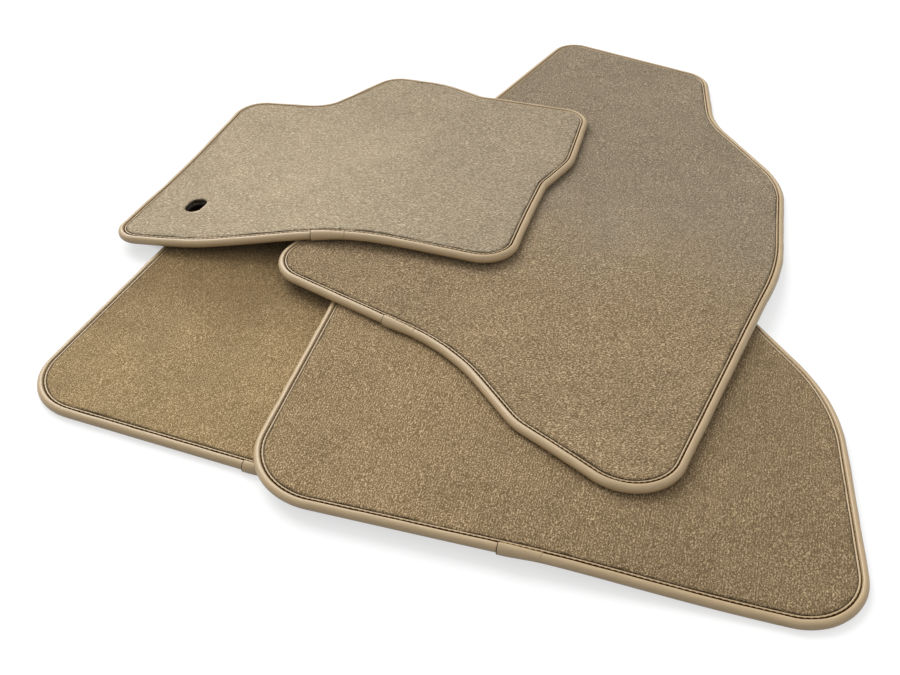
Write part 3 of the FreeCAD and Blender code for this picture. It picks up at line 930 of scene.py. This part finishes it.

# each mat's second pair of colours is its painted shade over the patch; on the rear left mat it is the
# driver's mat's shadow, painted
VELOURS = {
    "rear_left": velour(
        "rear_left_velour_cut_pile",
        "78623e", "cab18a", "5f4b2d", "a88e65", ((60, -190), 1.35, 170), 1.2, 1.3, 0.05, 0.8,
    ),
    "rear_right": velour(
        "rear_right_velour_cut_pile",
        "6e593a", "c8af8a", "635036", "b29c79", ((60, -250), 0.0, 260), 1.3, 1.5, 0.09, 0.9,
    ),
    "passenger": velour(
        "passenger_velour_cut_pile",
        "69553a", "c9b18c", "665947", "b9a98f", ((190, -30), 1.25, 230), 0.25, 1.6, 0.0, 1.0,
    ),
    "driver": velour(
        "driver_velour_cut_pile",
        "897a62", "d2c3a8", "7a6c57", "c4b59c", ((-60, 160), 0.2, 240), 0.05, 2.4, 0.0, 1.0,
    ),
}
TAPE_LOOK = leatherette()
THREAD_LOOK = twisted_thread()
CLOTH_LOOK = woven_backing()
RUBBER_LOOK = nubbed_rubber()


def settle_in(piece, look, mat, node):
    """Gives a piece its finish and its body, and lets it stand for its CAD node."""
    piece.data.materials.append(look)
    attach(piece, f"{mat}_mat")
    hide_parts(f"{mat}_{node}")
    return piece


for mat, facts in MATS.items():
    slotted = mat == "driver"
    points, normals = outline(facts["arcs"])
    rubber_wall, cloth_wall, pile_wall = WALLS if slotted else (None, None, None)
    coarse, fine = (LAYER_SPACING, LAYER_SPACING), (LAYER_SPACING, PILE_SPACING)
    rubber = layer(f"{mat}_rubber_backing", mat, RUBBER_EDGE, rubber_wall, coarse)
    cloth = layer(f"{mat}_woven_base", mat, CLOTH_EDGE, cloth_wall, coarse)
    pile = layer(f"{mat}_velour_face", mat, PILE_EDGE, pile_wall, fine, nap=1.0)
    tape = binding(f"{mat}_edge_tape", mat)
    lap = tape_lap(f"{mat}_edge_tape_lap", mat)
    seam = stitches(f"{mat}_seam_stitches", mat)
    settle_in(rubber, RUBBER_LOOK, mat, "backing")
    settle_in(cloth, CLOTH_LOOK, mat, "base_cloth")
    settle_in(pile, VELOURS[mat], mat, "pile")
    settle_in(tape, TAPE_LOOK, mat, "binding")
    settle_in(lap, TAPE_LOOK, mat, "binding_lap")
    settle_in(seam, THREAD_LOOK, mat, "stitching")

# Studio: a white table lit from underneath as well, a soft light behind on the left, grey walls
# under a white ceiling, and brown cloth below the table's level, which keeps the shaded sides of
# the tape warm.
floor_mesh = bpy.data.meshes.new("floor")
FLOOR_REACH = 60.0
FLOOR_DROP = -0.0004
corners = [(-1, -1), (1, -1), (1, 1), (-1, 1)]
floor_mesh.from_pydata(
    [(FLOOR_REACH * x, FLOOR_REACH * y, FLOOR_DROP) for x, y in corners], [], [(0, 1, 2, 3)]
)
floor = bpy.data.objects.new("floor", floor_mesh)
bpy.context.scene.collection.objects.link(floor)
floor_look, floor_tree = start_material("floor_white_acrylic")
# painted shade: near the driver's mat's fixing slot the table's glow is cut where the mats lie close
# over it, so the floor seen through the slot is dark
open_sky = add(floor_tree, "AmbientOcclusion", {"Distance": 0.15}, samples=16).outputs["AO"]
uncovered = add(
    floor_tree, "MapRange", {"Value": open_sky, "From Min": 0.25, "From Max": 0.5}
).outputs["Result"]
slot_on_floor = (SLOT_PLACE[0] * MM, SLOT_PLACE[1] * MM, 0.0)
spot = add(floor_tree, "TexCoord").outputs["Object"]
spot = add(
    floor_tree, "VectorMath", {0: spot, 1: slot_on_floor}, operation="DISTANCE"
).outputs["Value"]
beside = add(
    floor_tree, "MapRange", {"Value": spot, "From Min": 0.04, "From Max": 0.07}
).outputs["Result"]
free_of_painted_shade = add(floor_tree, "Math", {0: uncovered, 1: beside}, operation="MAXIMUM").outputs[0]
glow_less_painted_shade = add(floor_tree, "Math", {0: free_of_painted_shade, 1: 0.62}, operation="MULTIPLY").outputs[0]
# and there the table's colour is painted dark brown as well, a painted shade
top = add(
    floor_tree, "Mix", {0: free_of_painted_shade, 6: linear("4a2f12"), 7: linear("a2a2a2")}, data_type="RGBA"
).outputs[2]
floor_shader = add(
    floor_tree,
    "BsdfPrincipled",
    {
        "Base Color": top,
        "Roughness": 0.95,
        "Specular IOR Level": 0.0,
        "Emission Color": linear("ffffff"),
        "Emission Strength": glow_less_painted_shade,
    },
)
add(floor_tree, "OutputMaterial", {"Surface": floor_shader.outputs[0]})
floor_mesh.materials.append(floor_look)
floor.visible_diffuse = False

world = bpy.data.worlds.new("white_studio")
world.use_nodes = True
sky = world.node_tree
sky.nodes.clear()
heading = add(sky, "TexCoord").outputs["Generated"]
height = add(sky, "SeparateXYZ", {"Vector": heading}).outputs["Z"]
walls = add(
    sky, "MapRange", {"Value": height, "From Min": -0.12, "From Max": -0.05}
).outputs["Result"]
ceiling = add(
    sky, "MapRange", {"Value": height, "From Min": 0.0, "From Max": 0.3}
).outputs["Result"]
light = add(
    sky, "Mix", {0: walls, 6: linear("43301a"), 7: linear("c6c3be")}, data_type="RGBA"
).outputs[2]
light = add(
    sky, "Mix", {0: ceiling, 6: light, 7: linear("ffffff")}, data_type="RGBA"
).outputs[2]
background = add(sky, "Background", {"Color": light, "Strength": 0.76})
add(sky, "OutputWorld", {"Surface": background.outputs[0]})
bpy.context.scene.world = world

sun = bpy.data.lights.new("light_behind_left", "SUN")
sun.energy = 2.75
sun.angle = math.radians(45.0)
lamp = bpy.data.objects.new("light_behind_left", sun)
bpy.context.scene.collection.objects.link(lamp)
lamp.location = (-1.1, 1.7, 1.9)
lamp.rotation_euler = (-Vector(lamp.location)).to_track_quat("-Z", "Y").to_euler()

view = bpy.data.cameras.new("camera")
view.lens = 45.67
view.sensor_width = 36.0
view.clip_end = 200.0
camera = bpy.data.objects.new("camera", view)
camera.location = (0.0018, -1.0299, 0.742)
camera.rotation_euler = (math.radians(50.0), 0.0, 0.0)
bpy.context.scene.collection.objects.link(camera)
bpy.context.scene.camera = camera
bpy.context.scene.view_settings.view_transform = "Standard"
